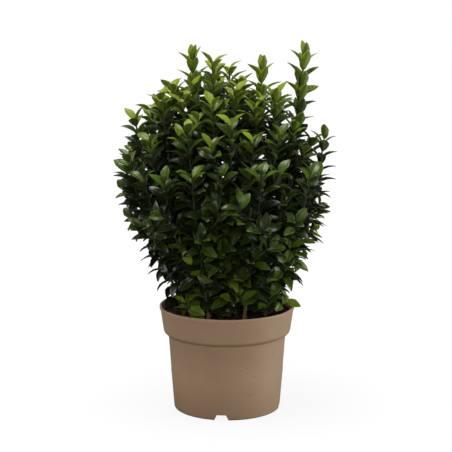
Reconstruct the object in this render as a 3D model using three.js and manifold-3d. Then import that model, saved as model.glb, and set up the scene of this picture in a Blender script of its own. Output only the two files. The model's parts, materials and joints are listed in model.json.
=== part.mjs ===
// Potted columnar euonymus: a bushy evergreen shrub of many upright leafy shoots,
// standing in a round taupe nursery pot filled with peat.
// Units are millimetres, +Z is up, and the origin is the middle of the pot's flat underside.
// The front of the plant faces -Y.

import * as THREE from "three";
import { mergeVertices } from "three/addons/utils/BufferGeometryUtils.js";
import Module from "manifold-3d";

const wasm = await Module();
wasm.setup();

// Pot: a tapered plastic wall with a deep band round its mouth and drain notches in its foot

const POT = {
  height: 148,
  rimRadius: 95, // outside of the lip
  bandFootRadius: 89.7, // outside of the band, just above its rounded lower edge
  bandHeight: 40, // from the wall below the band to the lip
  bandRounding: 7, // radius of the band's lower edge
  footRadius: 75,
  footRounding: 3,
  wall: 2,
  floor: 2.6,
  lipHeight: 4,
  lipProud: 0.7, // the lip stands out this far from the band
  sides: 44,
};

const NOTCH = {
  count: 4,
  firstAzimuth: -96, // degrees, 0 is +X and -90 is the front
  footWidth: 20.5,
  topWidth: 12.8,
  height: 8,
  depth: 46, // how far the notch runs in from the foot's outside
  overshoot: 6, // the cutter reaches this far past the pot's outside
};

// Soil: peat filled to a little below the lip

const SOIL = { top: 139, edgeDrop: 1.5, edgeWidth: 7, gap: 0.3 };

// Shoots: each stem rises from the soil at its foot, bows outwards and turns up to its tip.
// azimuth in degrees, foot and reach are distances from the pot's axis at the two ends,
// and height is where the topmost leaf of the shoot ends.

const SHOOTS = [
  { name: "right_spire", azimuth: 11, foot: 46, reach: 109, height: 522 },
  { name: "centre_spire", azimuth: 37, foot: 24, reach: 60, height: 504 },
  { name: "front_right", azimuth: -22, foot: 16, reach: 72, height: 462 },
  { name: "left_spire", azimuth: 158, foot: 32, reach: 51, height: 512 },
  { name: "centre_left", azimuth: 222, foot: 12, reach: 26, height: 508 },
  { name: "left_shoulder", azimuth: 194, foot: 46, reach: 90, height: 460 },
  { name: "left_outer", azimuth: 178, foot: 62, reach: 125, height: 428 },
  { name: "left_low", azimuth: 201, foot: 64, reach: 140, height: 378 },
  { name: "front_left", azimuth: 236, foot: 42, reach: 92, height: 422 },
  { name: "front", azimuth: 274, foot: 36, reach: 80, height: 426 },
  { name: "front_low_left", azimuth: 246, foot: 62, reach: 114, height: 366 },
  { name: "front_low_right", azimuth: 294, foot: 58, reach: 112, height: 368 },
  { name: "right", azimuth: 2, foot: 66, reach: 131, height: 402 },
  { name: "right_low", azimuth: 332, foot: 60, reach: 124, height: 352 },
  { name: "back_right", azimuth: 50, foot: 58, reach: 112, height: 446 },
  { name: "back", azimuth: 87, foot: 44, reach: 80, height: 484 },
  { name: "back_left", azimuth: 136, foot: 60, reach: 106, height: 462 },
  { name: "back_low_right", azimuth: 74, foot: 66, reach: 122, height: 362 },
  { name: "back_low_left", azimuth: 115, foot: 66, reach: 122, height: 368 },
  { name: "basal_left", azimuth: 224, foot: 66, reach: 76, height: 190 },
  { name: "basal_right", azimuth: 352, foot: 62, reach: 80, height: 190 },
];

const STEM = {
  footRadius: 2.7, // at the soil, before the flare
  flare: 1.25, // the root flare widens the foot by this factor
  bare: 20, // length of brown stem that shows between the soil and the leaves
  bareShare: 0.45, // a basal shoot's bare stem is at most this share of its rise
  neckRadius: 2.2, // where the stem enters its leaves
  tipRadius: 1.1,
  bowLow: 0.3, // share of the lean taken up in the lower third of the rise
  bowHigh: 0.86, // share of the lean taken up in the upper third
  sides: 5,
  steps: 2,
  seatGap: 0.3, // clear distance from the soil, and from the leafy stem above
};

// Leafy stems: the four-angled green twigs of a spindle shrub, which carry crossed pairs of leaves
// on their flat sides, and a few side shoots

const TWIG = { sides: 4, stepLength: 28, sideStepLength: 17 };

const SIDE = {
  spacing: 44, // along the stem from one side shoot to the next
  firstShare: 0.2,
  lastShare: 0.72,
  turn: 137.5, // degrees from one side shoot to the next round the stem
  length: 74,
  lengthFall: 0.45, // the topmost side shoot is shorter by this share
  spread: 0.5, // share of the length that goes outwards
  rise: 0.84, // share of the length that goes up
  kneeOut: 0.31, // where it turns up, as shares of the length
  kneeUp: 0.36,
  radius: 1.7,
  bareShare: 0.25, // of its length, next to the stem
  least: 26, // a side shoot shorter than this isn't grown
  shrink: 0.75, // a side shoot that would leave its space is tried again at this share
};

const LEAF = {
  length: 42,
  width: 20,
  widest: 0.56, // share of the length from the stalk to the widest place
  bend: 0.085, // rise of the blade's widest place above its ends, as a share of the length
  sink: 0.2, // how far the stalk runs past the twig's centre line
  stalk: 3, // the stretch at the stalk that may stand close to a neighbour
  pairSpacing: 20.5,
  shadeSpacing: 36, // between pairs deep inside the crown
  lowAngle: 60, // degrees from the twig, at its lower end
  highAngle: 36, // degrees from the twig, near its tip
  budAngle: 24, // degrees from the twig, the last pair
  budSize: 0.66,
  budSeat: 4, // from the last pair to the twig's end
  jitter: 8, // degrees
  apart: 10, // least distance between the middles of two leaves of a shoot
  // a leaf that would leave its space is tried smaller and steeper, then skipped
  tries: [
    { size: 1, steeper: 0 },
    { size: 0.86, steeper: 14 },
    { size: 0.72, steeper: 22 },
    { size: 0.58, steeper: 30 },
  ],
};

// Crown: no leaf reaches outside it, and each shoot keeps to the space nearest its own stem

const CROWN = {
  neckRadius: 104, // just above the pot's lip
  neckTop: 190,
  radius: 163, // from the shoulder upwards
  shoulder: 310,
  depthShare: 0.94, // its depth, front to back, as a share of its width
  shadeDepth: 62, // leaves deeper inside than this are in shade
  shadeBelowTip: 95, // and only this far below their own tip
};

const SPACE_GAP = 0.7; // between neighbouring shoots
const LIMB_GAP = 0.8; // between a leaf and another shoot's stem
const POT_GAP = 2; // between a leaf and the pot or the soil
const FUSE_TOLERANCE = 0.04; // finer detail than this is dropped where solids are joined
const SLIVER = { height: 0.004, weld: 0.002, passes: 12 };
const TRACK_STEPS = 28;
const SEED = 41;

const UP = new THREE.Vector3(0, 0, 1);
const RIGHT = new THREE.Vector3(1, 0, 0);

// Small helpers

const radians = THREE.MathUtils.degToRad;

function polar(azimuth, radius, z) {
  const a = radians(azimuth);
  return new THREE.Vector3(radius * Math.cos(a), radius * Math.sin(a), z);
}

// A repeatable stream of numbers from 0 to 1.
function seededRandom(seed) {
  let state = seed >>> 0;
  return () => {
    state = (state + 0x6d2b79f5) >>> 0;
    let t = Math.imul(state ^ (state >>> 15), 1 | state);
    t = (t + Math.imul(t ^ (t >>> 7), 61 | t)) ^ t;
    return ((t ^ (t >>> 14)) >>> 0) / 4294967296;
  };
}

// The faces of an indexed geometry, as triples of vertex numbers with collapsed ones left out.
function facesOf(geometry) {
  const corners = geometry.index.array;
  const faces = [];
  for (let i = 0; i < corners.length; i += 3) {
    const [a, b, c] = corners.subarray(i, i + 3);
    if (a !== b && b !== c && c !== a) faces.push([a, b, c]);
  }
  return faces;
}

// A closed geometry as a solid, with its shared vertices merged.
function solidOf(geometry) {
  geometry.deleteAttribute("normal");
  geometry.deleteAttribute("uv");
  const merged = mergeVertices(geometry, 1e-4);
  return new wasm.Manifold(
    new wasm.Mesh({
      numProp: 3,
      vertProperties: merged.getAttribute("position").array,
      triVerts: new Uint32Array(facesOf(merged).flat()),
    }),
  );
}

// Where joining left a face too slim to keep its shape, its longest edge is swapped for the other
// diagonal of the two faces that share it.
function withoutSlivers(joined, position) {
  let faces = joined;
  const points = Array.from({ length: position.count }, (_, i) =>
    new THREE.Vector3().fromBufferAttribute(position, i),
  );
  const triangle = new THREE.Triangle();
  const span = (face, i) => points[face[i]].distanceTo(points[face[(i + 1) % 3]]);
  for (let pass = 0; pass < SLIVER.passes; pass++) {
    const owner = new Map();
    faces.forEach((face, f) => face.forEach((a, i) => owner.set(`${a} ${face[(i + 1) % 3]}`, f)));
    const swapped = new Set();
    faces.forEach((face, f) => {
      const longest = [0, 1, 2].reduce((best, i) => (span(face, i) > span(face, best) ? i : best));
      const [a, b, c] = [0, 1, 2].map((i) => face[(longest + i) % 3]);
      triangle.set(points[a], points[b], points[c]);
      if ((2 * triangle.getArea()) / span(face, longest) > SLIVER.height) return;
      const g = owner.get(`${b} ${a}`);
      if (swapped.has(f) || swapped.has(g)) return;
      const d = faces[g].find((corner) => corner !== a && corner !== b);
      if (owner.has(`${c} ${d}`) || owner.has(`${d} ${c}`)) return;
      faces[f] = [a, d, c];
      faces[g] = [d, b, c];
      swapped.add(f).add(g);
    });
    if (swapped.size === 0) break;
    faces = faces.filter((face) => new Set(face).size === 3);
  }
  return faces;
}

function geometryOf(solid) {
  const { vertProperties, triVerts } = solid.getMesh();
  const raw = new THREE.BufferGeometry();
  raw.setAttribute("position", new THREE.BufferAttribute(vertProperties, 3));
  raw.setIndex(new THREE.BufferAttribute(triVerts, 1));
  const geometry = mergeVertices(raw, SLIVER.weld);
  const faces = withoutSlivers(facesOf(geometry), geometry.getAttribute("position"));
  geometry.setIndex(faces.flat());
  geometry.computeVertexNormals();
  return geometry;
}

// Joins solids into one body: a sealed hollow is filled and a loose scrap is dropped.
function fused(solids) {
  const bodies = wasm.Manifold.union(solids).decompose();
  const body = bodies.reduce((best, next) => (next.volume() > best.volume() ? next : best));
  return body.asOriginal().simplify(FUSE_TOLERANCE);
}

// Turns an outline of [radius, height] points round the +Z axis.
function turned(outline, sides) {
  const points = outline.map(([radius, height]) => new THREE.Vector2(radius, height));
  return solidOf(new THREE.LatheGeometry(points, sides).rotateX(Math.PI / 2));
}

// Pot and soil

function arcPoints(centreRadius, centreHeight, radius, fromDegrees, toDegrees, steps) {
  return Array.from({ length: steps + 1 }, (_, i) => {
    const a = radians(fromDegrees + ((toDegrees - fromDegrees) * i) / steps);
    return [centreRadius + radius * Math.cos(a), centreHeight + radius * Math.sin(a)];
  });
}

function potOutline() {
  const wallTop = POT.height - POT.bandHeight;
  const wallTopRadius = POT.bandFootRadius - POT.bandRounding;
  const lipFoot = POT.height - POT.lipHeight;
  return [
    [0, 0],
    ...arcPoints(POT.footRadius - POT.footRounding, POT.footRounding, POT.footRounding, -90, 0, 2),
    ...arcPoints(wallTopRadius, wallTop + POT.bandRounding, POT.bandRounding, -90, 0, 3),
    [POT.rimRadius - POT.lipProud, lipFoot],
    [POT.rimRadius, lipFoot + POT.lipProud],
    [POT.rimRadius, POT.height - POT.lipProud],
    [POT.rimRadius - POT.lipProud, POT.height],
  ];
}

// The hollow of the pot, drawn in from the outside by the wall and by an extra gap.
function hollowOutline(gap, top) {
  const inset = POT.wall + gap;
  const wallTop = POT.height - POT.bandHeight;
  const wallTopRadius = POT.bandFootRadius - POT.bandRounding;
  const bandSlope = (POT.rimRadius - POT.bandFootRadius) / (POT.bandHeight - POT.bandRounding);
  const bandFoot = wallTop + POT.bandRounding;
  const topRadius = POT.bandFootRadius + bandSlope * (top - bandFoot) - inset;
  return [
    [0, POT.floor + gap],
    [POT.footRadius - inset, POT.floor + gap],
    [wallTopRadius - inset, wallTop + POT.wall],
    [POT.bandFootRadius - inset, bandFoot + POT.wall],
    [topRadius, top],
  ];
}

// A drain notch as a wedge-sided block that points outwards, grown on all sides by `grown`.
function notchBlock(azimuth, grown, overshoot) {
  const slope = (NOTCH.footWidth - NOTCH.topWidth) / 2 / NOTCH.height;
  const top = NOTCH.height + grown;
  const footHalf = NOTCH.footWidth / 2 + grown + slope * grown;
  const topHalf = footHalf - slope * (top + grown);
  const shape = new THREE.Shape();
  shape.moveTo(-footHalf, -grown);
  shape.lineTo(footHalf, -grown);
  shape.lineTo(topHalf, top);
  shape.lineTo(-topHalf, top);
  shape.closePath();
  const inner = POT.footRadius - NOTCH.depth - grown;
  const block = new THREE.ExtrudeGeometry(shape, {
    depth: POT.footRadius + overshoot - inner,
    bevelEnabled: false,
  });
  block.rotateX(Math.PI / 2); // the outline stands upright and runs along -Y
  block.translate(0, -inner, 0);
  block.rotateZ(radians(azimuth + 90));
  return solidOf(block);
}

function notchAzimuths() {
  return Array.from({ length: NOTCH.count }, (_, i) => NOTCH.firstAzimuth + (360 * i) / NOTCH.count);
}

function potSolid() {
  const filled = turned([...potOutline(), [0, POT.height]], POT.sides);
  const mouth = POT.height + POT.wall;
  const hollow = turned([...hollowOutline(0, mouth), [0, mouth]], POT.sides);
  let pot = filled.subtract(hollow);
  for (const azimuth of notchAzimuths()) {
    const housing = notchBlock(azimuth, POT.wall, 0).intersect(filled);
    pot = pot.add(housing).subtract(notchBlock(azimuth, 0, NOTCH.overshoot));
  }
  return pot.asOriginal().simplify(FUSE_TOLERANCE);
}

function soilSolid() {
  const rim = SOIL.top - SOIL.edgeDrop;
  const outline = hollowOutline(SOIL.gap, rim);
  const edge = outline[outline.length - 1][0];
  let soil = turned([...outline, [edge - SOIL.edgeWidth, SOIL.top], [0, SOIL.top]], POT.sides);
  for (const azimuth of notchAzimuths()) {
    soil = soil.subtract(notchBlock(azimuth, POT.wall + SOIL.gap, NOTCH.overshoot));
  }
  return soil;
}

// Limbs

function stemCurve(shoot) {
  const foot = polar(shoot.azimuth, shoot.foot, SOIL.top + STEM.seatGap);
  const budRise = LEAF.length * LEAF.budSize * Math.cos(radians(LEAF.budAngle));
  const tip = polar(shoot.azimuth, shoot.reach, shoot.height - budRise);
  const lean = tip.clone().sub(foot).setZ(0);
  const rise = tip.z - foot.z;
  const along = (leanShare, riseShare) =>
    foot.clone().addScaledVector(lean, leanShare).addScaledVector(UP, riseShare * rise);
  return new THREE.CubicBezierCurve3(foot, along(STEM.bowLow, 1 / 3), along(STEM.bowHigh, 2 / 3), tip);
}

// Two directions square to the curve, and the curve's own direction there. `roll` turns the first two.
function frameAt({ curve, roll }, t) {
  const tangent = curve.getTangent(t);
  const across = new THREE.Vector3().crossVectors(tangent, RIGHT).normalize().applyAxisAngle(tangent, roll);
  const side = new THREE.Vector3().crossVectors(tangent, across).normalize();
  return { tangent, across, side };
}

// A tapering limb along part of an axis. radiusAt gives its radius for a share of that part.
function limb(axis, from, to, radiusAt, sides, steps, flatFoot) {
  const geometry = new THREE.CylinderGeometry(1, 1, 1, sides, steps);
  const position = geometry.getAttribute("position");
  const point = new THREE.Vector3();
  for (let i = 0; i < position.count; i++) {
    const share = position.getY(i) + 0.5;
    const t = from + (to - from) * share;
    const { across, side } = frameAt(axis, t);
    const radius = radiusAt(share);
    axis.curve.getPoint(t, point);
    const ground = point.z;
    point.addScaledVector(side, radius * position.getX(i));
    point.addScaledVector(across, radius * position.getZ(i));
    if (flatFoot && share === 0) point.z = ground;
    position.setXYZ(i, point.x, point.y, point.z);
  }
  return solidOf(geometry);
}

// The plan of a shoot: its curve, where its bare stem ends and where its leafy stem starts.
function planned(shoot, index) {
  const curve = stemCurve(shoot);
  const length = curve.getLength();
  const bare = Math.min(STEM.bare, STEM.bareShare * length);
  const random = seededRandom(SEED + 97 * index);
  return {
    ...shoot,
    axis: { curve, roll: random() * Math.PI },
    length,
    bareEnd: curve.getUtoTmapping(bare / length),
    leafyStart: curve.getUtoTmapping((bare + STEM.seatGap) / length),
    track: curve.getPoints(TRACK_STEPS),
    random,
  };
}

function stemSolid(plan) {
  const radiusAt = (share) => {
    const taper = THREE.MathUtils.lerp(STEM.footRadius, STEM.neckRadius, share);
    return share === 0 ? taper * STEM.flare : taper;
  };
  return limb(plan.axis, 0, plan.bareEnd, radiusAt, STEM.sides, STEM.steps, true);
}

// Space tests

const segment = new THREE.Line3();
const nearest = new THREE.Vector3();

function distanceToTrack(point, track) {
  let least = Infinity;
  for (let i = 1; i < track.length; i++) {
    segment.set(track[i - 1], track[i]).closestPointToPoint(point, true, nearest);
    least = Math.min(least, nearest.distanceTo(point));
  }
  return least;
}

function crownRadius(z) {
  const share = (z - CROWN.neckTop) / (CROWN.shoulder - CROWN.neckTop);
  return THREE.MathUtils.lerp(CROWN.neckRadius, CROWN.radius, THREE.MathUtils.clamp(share, 0, 1));
}

function crownDepth(point) {
  return crownRadius(point.z) - Math.hypot(point.x, point.y / CROWN.depthShare);
}

function clearOfPot(point) {
  if (point.z < SOIL.top + POT_GAP) return false;
  if (point.z > POT.height + POT_GAP) return true;
  return Math.hypot(point.x, point.y) < POT.rimRadius - POT.lipProud - POT.wall - POT_GAP;
}

function inOwnSpace(point, plan, plans) {
  if (!clearOfPot(point) || crownDepth(point) < 0) return false;
  const own = distanceToTrack(point, plan.track) + SPACE_GAP;
  return plans.every((other) => {
    if (other === plan) return true;
    const away = distanceToTrack(point, other.track);
    return away > own && away > STEM.footRadius + LIMB_GAP;
  });
}

// A leaf is a pointed blade, bent back across its widest place, with a keel along its underside.
// It starts at `root`, runs along `out`, and its upper face looks along `face`.
function leafGeometry(root, out, face, size) {
  const across = new THREE.Vector3().crossVectors(face, out);
  const geometry = new THREE.TetrahedronGeometry(1);
  const position = geometry.getAttribute("position");
  const point = new THREE.Vector3();
  for (let i = 0; i < position.count; i++) {
    const sign = Math.sign(position.getX(i));
    const onEdge = position.getZ(i) > 0;
    const onTip = !onEdge && sign > 0;
    const share = onEdge ? LEAF.widest : Number(onTip);
    point.copy(root).addScaledVector(out, share === 0 ? -LEAF.sink : share * LEAF.length * size);
    if (onEdge) {
      point.addScaledVector(across, (sign * LEAF.width * size) / 2);
      point.addScaledVector(face, LEAF.bend * LEAF.length * size);
    }
    position.setXYZ(i, point.x, point.y, point.z);
  }
  return geometry;
}

function cornersOf(geometry) {
  const position = geometry.getAttribute("position");
  const corners = [];
  for (let i = 0; i < position.count; i++) {
    corners.push(new THREE.Vector3().fromBufferAttribute(position, i));
  }
  return corners;
}

// One leaf of a pair, turned round the twig by `turn` and leaning off it by `angle` degrees.
// `placed` gathers the middles of the shoot's leaves, so that no two lie in one place.
function leafSolid(axis, t, turn, angle, bigness, placed, plan, plans) {
  const { tangent, across, side } = frameAt(axis, t);
  const outwards = side.multiplyScalar(Math.cos(turn)).addScaledVector(across, Math.sin(turn));
  const root = axis.curve.getPoint(t);
  for (const { size, steeper } of LEAF.tries) {
    const lean = radians(Math.max(LEAF.budAngle, angle - steeper));
    const out = outwards.clone().multiplyScalar(Math.sin(lean)).addScaledVector(tangent, Math.cos(lean));
    const face = tangent.clone().multiplyScalar(Math.sin(lean)).addScaledVector(outwards, -Math.cos(lean));
    const middle = root.clone().addScaledVector(out, (LEAF.length * bigness * size) / 2);
    if (placed.some((other) => other.distanceTo(middle) < LEAF.apart)) continue;
    const geometry = leafGeometry(root, out, face, bigness * size);
    const blade = cornersOf(geometry).filter((corner) => corner.distanceTo(root) > LEAF.stalk);
    if (blade.every((corner) => inOwnSpace(corner, plan, plans))) {
      placed.push(middle);
      return solidOf(geometry);
    }
  }
  return null;
}

// Crossed pairs of leaves along part of an axis, closer together where they stand in light.
function leavesAlong(axis, from, placed, plan, plans) {
  const { curve } = axis;
  const length = curve.getLength();
  const start = from * length + LEAF.pairSpacing * 0.4;
  const jitter = (degrees) => degrees * (2 * plan.random() - 1);
  const leaves = [];
  const grow = (t, turn, angle, size) => {
    const leaf = leafSolid(axis, t, turn, angle, size, placed, plan, plans);
    if (leaf) leaves.push(leaf);
  };
  let turn = Math.PI / TWIG.sides;
  let at = start;
  while (at < length - LEAF.budSeat) {
    const t = curve.getUtoTmapping(at / length);
    const share = (at - start) / Math.max(1, length - start);
    const angle = THREE.MathUtils.lerp(LEAF.lowAngle, LEAF.highAngle, share);
    for (const facing of [0, Math.PI]) {
      grow(t, turn + facing + radians(jitter(LEAF.jitter)), angle + jitter(LEAF.jitter), 1);
    }
    const shaded = crownDepth(curve.getPoint(t)) > CROWN.shadeDepth && length - at > CROWN.shadeBelowTip;
    at += shaded ? LEAF.shadeSpacing : LEAF.pairSpacing;
    turn += Math.PI / 2;
  }
  const budAt = curve.getUtoTmapping(1 - LEAF.budSeat / length);
  for (const facing of [0, Math.PI]) grow(budAt, turn + facing, LEAF.budAngle, LEAF.budSize);
  return leaves;
}

// A side shoot leaves the stem sideways and turns up. It is shortened until it keeps to its space.
function sideAxis(plan, plans, share, turn) {
  const t = plan.leafyStart + (1 - plan.leafyStart) * share;
  const root = plan.axis.curve.getPoint(t);
  const heading = new THREE.Vector3(Math.cos(turn), Math.sin(turn), 0);
  let length = SIDE.length * (1 - SIDE.lengthFall * share);
  while (length >= SIDE.least) {
    const tip = root.clone();
    tip.addScaledVector(heading, SIDE.spread * length).addScaledVector(UP, SIDE.rise * length);
    const knee = root.clone();
    knee.addScaledVector(heading, SIDE.kneeOut * length).addScaledVector(UP, SIDE.kneeUp * length);
    const curve = new THREE.QuadraticBezierCurve3(root, knee, tip);
    const inside = curve.getPoints(4).slice(1).every((point) => inOwnSpace(point, plan, plans));
    if (inside) return { curve, roll: plan.random() * Math.PI };
    length *= SIDE.shrink;
  }
  return null;
}

function sideAxes(plan, plans) {
  const leafy = plan.length * (1 - plan.leafyStart);
  const count = Math.floor((leafy * (SIDE.lastShare - SIDE.firstShare)) / SIDE.spacing);
  const first = plan.random() * Math.PI * 2;
  const axes = [];
  for (let i = 0; i < count; i++) {
    const share = THREE.MathUtils.lerp(SIDE.firstShare, SIDE.lastShare, (i + 0.5) / count);
    const axis = sideAxis(plan, plans, share, first + i * radians(SIDE.turn));
    if (axis) axes.push(axis);
  }
  return axes;
}

function twig(axis, from, startRadius, endRadius, stepLength) {
  const steps = Math.max(1, Math.round((axis.curve.getLength() * (1 - from)) / stepLength));
  const radiusAt = (share) => THREE.MathUtils.lerp(startRadius, endRadius, share);
  return limb(axis, from, 1, radiusAt, TWIG.sides, steps, false);
}

function foliageSolid(plan, plans) {
  const placed = [];
  const pieces = [twig(plan.axis, plan.leafyStart, STEM.neckRadius, STEM.tipRadius, TWIG.stepLength)];
  pieces.push(...leavesAlong(plan.axis, plan.leafyStart, placed, plan, plans));
  for (const axis of sideAxes(plan, plans)) {
    pieces.push(twig(axis, 0, SIDE.radius, STEM.tipRadius, TWIG.sideStepLength));
    pieces.push(...leavesAlong(axis, SIDE.bareShare, placed, plan, plans));
  }
  return fused(pieces);
}

// Assembly

const MATERIALS = {
  pot: new THREE.MeshStandardMaterial({ color: 0x87705a, roughness: 0.55, metalness: 0 }),
  soil: new THREE.MeshStandardMaterial({ color: 0x1d1712, roughness: 0.95, metalness: 0 }),
  bark: new THREE.MeshStandardMaterial({ color: 0x6a5032, roughness: 0.85, metalness: 0 }),
  leaf: new THREE.MeshStandardMaterial({ color: 0x4c6a1c, roughness: 0.35, metalness: 0 }),
};

function named(name, solid, material) {
  const mesh = new THREE.Mesh(geometryOf(solid), material);
  mesh.name = name;
  return mesh;
}

const plant = new THREE.Group();
plant.add(named("pot", potSolid(), MATERIALS.pot));
plant.add(named("soil", soilSolid(), MATERIALS.soil));

const plans = SHOOTS.map(planned);
for (const plan of plans) {
  plant.add(named(`stem_${plan.name}`, stemSolid(plan), MATERIALS.bark));
  plant.add(named(`foliage_${plan.name}`, foliageSolid(plan, plans), MATERIALS.leaf));
}

export default plant;
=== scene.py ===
# %% [markdown]
# # A potted columnar euonymus
#
# The plant is a small evergreen shrub: some twenty upright shoots rise from the peat of a round
# nursery pot and carry glossy leaves in crossed pairs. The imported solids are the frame. They say
# where the pot stands, where each stem leaves the soil and where each shoot ends, and everything
# below grows from those places.

# %% Frame
import json
import math
from collections import namedtuple

import bpy
import numpy as np
from mathutils import Matrix, Vector

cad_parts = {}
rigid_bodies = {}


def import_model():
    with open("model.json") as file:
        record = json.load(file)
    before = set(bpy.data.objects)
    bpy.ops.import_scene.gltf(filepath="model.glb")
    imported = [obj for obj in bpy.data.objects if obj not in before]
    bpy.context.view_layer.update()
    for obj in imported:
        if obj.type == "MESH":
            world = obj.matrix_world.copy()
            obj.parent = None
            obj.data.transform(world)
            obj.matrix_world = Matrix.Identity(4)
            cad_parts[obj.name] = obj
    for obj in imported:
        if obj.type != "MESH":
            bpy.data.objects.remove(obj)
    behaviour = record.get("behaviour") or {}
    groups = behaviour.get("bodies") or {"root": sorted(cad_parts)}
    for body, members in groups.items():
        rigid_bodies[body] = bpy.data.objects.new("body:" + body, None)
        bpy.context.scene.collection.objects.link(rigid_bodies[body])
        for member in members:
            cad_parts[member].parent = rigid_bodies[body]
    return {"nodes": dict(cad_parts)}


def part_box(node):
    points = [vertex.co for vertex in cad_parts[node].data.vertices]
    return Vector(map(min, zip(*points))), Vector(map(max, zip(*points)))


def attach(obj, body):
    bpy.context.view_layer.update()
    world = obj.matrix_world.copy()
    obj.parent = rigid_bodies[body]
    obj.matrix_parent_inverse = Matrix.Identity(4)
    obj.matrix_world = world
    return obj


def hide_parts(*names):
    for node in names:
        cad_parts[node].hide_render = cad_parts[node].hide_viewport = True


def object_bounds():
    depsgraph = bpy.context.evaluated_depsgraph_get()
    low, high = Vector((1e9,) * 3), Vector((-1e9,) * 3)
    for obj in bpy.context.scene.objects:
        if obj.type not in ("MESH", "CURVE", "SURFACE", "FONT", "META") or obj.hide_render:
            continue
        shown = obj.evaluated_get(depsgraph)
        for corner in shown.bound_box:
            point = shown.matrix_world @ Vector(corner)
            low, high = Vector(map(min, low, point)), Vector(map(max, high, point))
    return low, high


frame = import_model()
CAD_LOW, CAD_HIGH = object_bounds()
MM = 0.001
scene = bpy.context.scene
SHOOTS = sorted(name[len("stem_"):] for name in frame["nodes"] if name.startswith("stem_"))
print(f"{len(SHOOTS)} shoots in a box of {[round(x, 3) for x in CAD_HIGH - CAD_LOW]} m")

# %% [markdown]
# ## Camera
#
# The photograph was taken from a little above the rim with a long lens, so the pot's mouth is a
# slim ellipse and its sides hardly converge. The distance sets the perspective, and the lens then
# follows from how many pixels a metre takes at the pot.

# %% Camera
IMAGE_SIDE = 452
FOCAL_PIXELS = 1600
CAMERA_DISTANCE = 2200 * MM
CAMERA_HEIGHT = 668 * MM
CAMERA_ASIDE = -1.4 * MM
CAMERA_DOWN = math.radians(10.5)
SENSOR_WIDTH = 36  # in mm, as the lens is

lens = bpy.data.cameras.new("camera")
lens.sensor_width = SENSOR_WIDTH
lens.lens = FOCAL_PIXELS / IMAGE_SIDE * SENSOR_WIDTH
camera = bpy.data.objects.new("camera", lens)
camera.location = (CAMERA_ASIDE, -CAMERA_DISTANCE, CAMERA_HEIGHT)
camera.rotation_euler = (math.pi / 2 - CAMERA_DOWN, 0, 0)
scene.collection.objects.link(camera)
scene.camera = camera
print(f"camera: {lens.lens:.1f} mm lens, {CAMERA_DISTANCE:.2f} m from the pot")

# %% [markdown]
# ## Node helpers
#
# Geometry trees, shader groups and materials are all built from nodes. These few functions find a
# socket by its visible name, add a node with its settings and inputs, and start and end a tree, so
# that the cells below read like a list of nodes.


# %% Node helpers
def socket(sockets, name):
    """A socket by its place, or by its name among those that are switched on."""
    if isinstance(name, int):
        return sockets[name]
    return next(s for s in sockets if s.enabled and s.name == name)


def out(node, name=None):
    """A node's output, the first one that is switched on unless a name is given."""
    if name is None:
        return next(s for s in node.outputs if s.enabled)
    return socket(node.outputs, name)


def connect(tree, node, inputs):
    """Sets inputs to plain values, or links them from a node's first output or from a socket."""
    for name, value in inputs.items():
        target = socket(node.inputs, name)
        if isinstance(value, bpy.types.Node):
            value = out(value)
        if isinstance(value, bpy.types.NodeSocket):
            tree.links.new(value, target)
        else:
            target.default_value = value


def add(tree, kind, inputs=None, **settings):
    """A new node with its settings and inputs."""
    node = tree.nodes.new(kind)
    for name, value in settings.items():
        setattr(node, name, value)
    connect(tree, node, inputs or {})
    return node


def calc(tree, operation, first, second, **settings):
    """A sum, a product or the like."""
    return add(tree, "ShaderNodeMath", {0: first, 1: second}, operation=operation, **settings)


def mix(tree, factor, a, b, data_type):
    """One value or colour at a factor of 0, another at 1."""
    return add(tree, "ShaderNodeMix", {"Factor": factor, "A": a, "B": b}, data_type=data_type)


def attribute(tree, name, data_type):
    return add(tree, "GeometryNodeInputNamedAttribute", {"Name": name}, data_type=data_type)


# %% Tree helpers
SOCKET_TYPES = {float: "Float", int: "Int", tuple: "Vector"}


def new_tree(name, kind, inputs, outputs):
    """A new node group, with its inputs by name. Each is stated by its default or its type."""
    tree = bpy.data.node_groups.new(name, f"{kind}NodeTree")
    for label, value in inputs.items():
        plain = value if isinstance(value, str) else SOCKET_TYPES[type(value)]
        item = tree.interface.new_socket(label, in_out="INPUT", socket_type=f"NodeSocket{plain}")
        if plain is not value:
            item.default_value = value
    for label, plain in outputs.items():
        tree.interface.new_socket(label, in_out="OUTPUT", socket_type=f"NodeSocket{plain}")
    given = {s.name: s for s in tree.nodes.new("NodeGroupInput").outputs}
    return tree, given, tree.nodes.new("NodeGroupOutput")


def geometry_tree(name, inputs):
    return new_tree(name, "Geometry", {"Geometry": "Geometry", **inputs}, {"Geometry": "Geometry"})


def end_tree(tree, geometry, given, made):
    """A geometry tree ends in plain geometry that has its material."""
    whole = add(tree, "GeometryNodeRealizeInstances", {"Geometry": geometry})
    values = {"Geometry": whole, "Material": given["Material"]}
    connect(tree, made, {"Geometry": add(tree, "GeometryNodeSetMaterial", values)})
    print(f"tree {tree.name}: {len(tree.nodes)} nodes")


# %% Piece helpers
def linked_piece(name, mesh):
    """A mesh as an object of the scene, at the origin."""
    piece = bpy.data.objects.new(name, mesh)
    scene.collection.objects.link(piece)
    return piece


def triangles(piece):
    piece.data.calc_loop_triangles()
    return len(piece.data.loop_triangles)


def evaluated_mesh(piece):
    """What a piece's modifiers make of it, as a plain mesh."""
    graph = bpy.context.evaluated_depsgraph_get()
    return bpy.data.meshes.new_from_object(piece.evaluated_get(graph), depsgraph=graph)


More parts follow.
